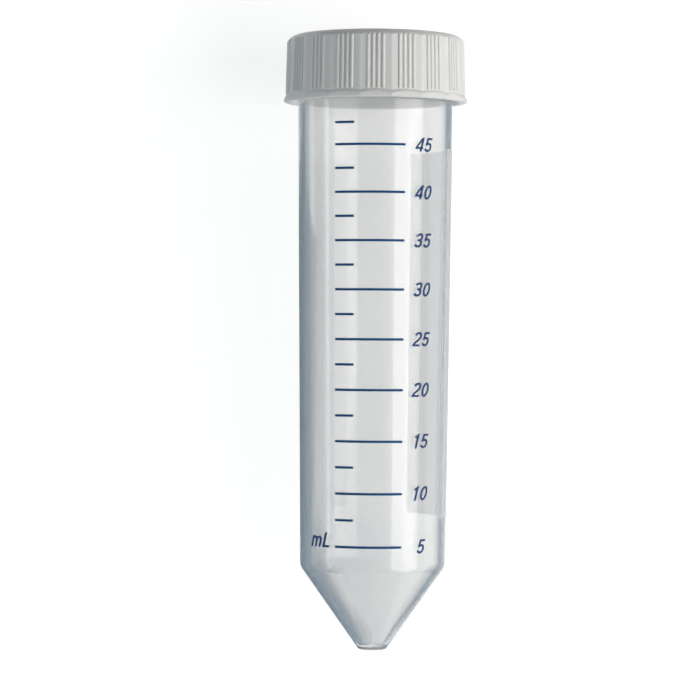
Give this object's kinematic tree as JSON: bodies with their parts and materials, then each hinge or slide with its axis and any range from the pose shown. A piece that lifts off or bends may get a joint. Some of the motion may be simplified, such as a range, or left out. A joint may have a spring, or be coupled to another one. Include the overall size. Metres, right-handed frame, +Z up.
{
  "type": "50 ml conical centrifuge tube",
  "caption": "Translucent conical-bottom laboratory tube with a ribbed screw cap that lifts off, lying on its side.",
  "frame": {"origin": "centre of the footprint on the floor that the tube lies on", "axes": "+Y from the tip towards the cap along the floor, +Z up through the side that carries the scale, +X to the right of the scale"},
  "size_m": [0.0348, 0.1172, 0.0344],
  "materials": {
    "clear_plastic": "clear, slightly milky polypropylene",
    "cap_plastic": "smooth light grey polyethylene",
    "scale_ink": "dark blue print",
    "panel_ink": "white print that can be written on"
  },
  "bodies": {
    "tube_body": {"tube": "clear_plastic"},
    "cap_body": {"cap": "cap_plastic"}
  },
  "joints": [
    {"name": "cap_lift", "type": "slide", "parent": "tube_body", "child": "cap_body", "axis": [0, 0.9993, 0.0381], "range_m": [0, 0.04]}
  ]
}
